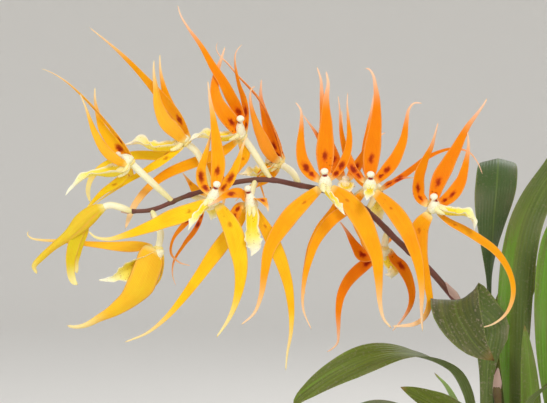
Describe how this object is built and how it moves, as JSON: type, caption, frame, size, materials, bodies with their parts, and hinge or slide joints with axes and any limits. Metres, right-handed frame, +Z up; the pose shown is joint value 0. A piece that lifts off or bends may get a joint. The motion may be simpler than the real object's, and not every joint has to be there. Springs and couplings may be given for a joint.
{
  "type": "potted brassia orchid",
  "caption": "Spider orchid in a clay pot of bark: pseudobulbs, strap leaves and an arching dark spike of orange blooms with long thread-like tepals and pale lips.",
  "frame": {"origin": "centre of the pot's flat underside", "axes": "+Z up; the flower spike arches out towards -X and most blooms face -Y"},
  "size_m": [0.4498, 0.2464, 0.4633],
  "materials": {
    "clay": "matte",
    "bark": "matte",
    "pseudobulb": "satin",
    "leaf": "satin",
    "spike": "satin",
    "tepal": "satin",
    "pale": "satin",
    "bud": "satin"
  },
  "bodies": {
    "root": {"pot": "clay", "bark_mix": "bark", "spike": "spike", "bud_2_pod": "bud", "bud_2_stalk": "pale", "bulb_1": "pseudobulb", "bulb_2": "pseudobulb", "bulb_3": "pseudobulb", "bulb_4": "pseudobulb", "bulb_5": "pseudobulb", "leaf_1": "leaf", "leaf_2": "leaf", "leaf_3": "leaf", "leaf_4": "leaf", "leaf_5": "leaf", "leaf_6": "leaf", "leaf_7": "leaf", "leaf_8": "leaf", "leaf_9": "leaf", "leaf_10": "leaf", "leaf_11": "leaf", "leaf_12": "leaf", "leaf_13": "leaf", "leaf_14": "leaf", "bloom_1_tepals": "tepal", "bloom_2_tepals": "tepal", "bloom_3_tepals": "tepal", "bloom_4_tepals": "tepal", "bloom_5_tepals": "tepal", "bloom_6_tepals": "tepal", "bloom_7_tepals": "tepal", "bloom_8_tepals": "tepal", "bloom_9_tepals": "tepal", "bloom_10_tepals": "tepal", "bloom_11_tepals": "tepal", "bloom_12_tepals": "tepal", "bloom_13_tepals": "tepal", "bud_1_tepals": "tepal", "bloom_1_lip_and_stalk": "pale", "bloom_2_lip_and_stalk": "pale", "bloom_3_lip_and_stalk": "pale", "bloom_4_lip_and_stalk": "pale", "bloom_5_lip_and_stalk": "pale", "bloom_6_lip_and_stalk": "pale", "bloom_7_lip_and_stalk": "pale", "bloom_8_lip_and_stalk": "pale", "bloom_9_lip_and_stalk": "pale", "bloom_10_lip_and_stalk": "pale", "bloom_11_lip_and_stalk": "pale", "bloom_12_lip_and_stalk": "pale", "bloom_13_lip_and_stalk": "pale", "bud_1_lip_and_stalk": "pale"}
  },
  "joints": []
}
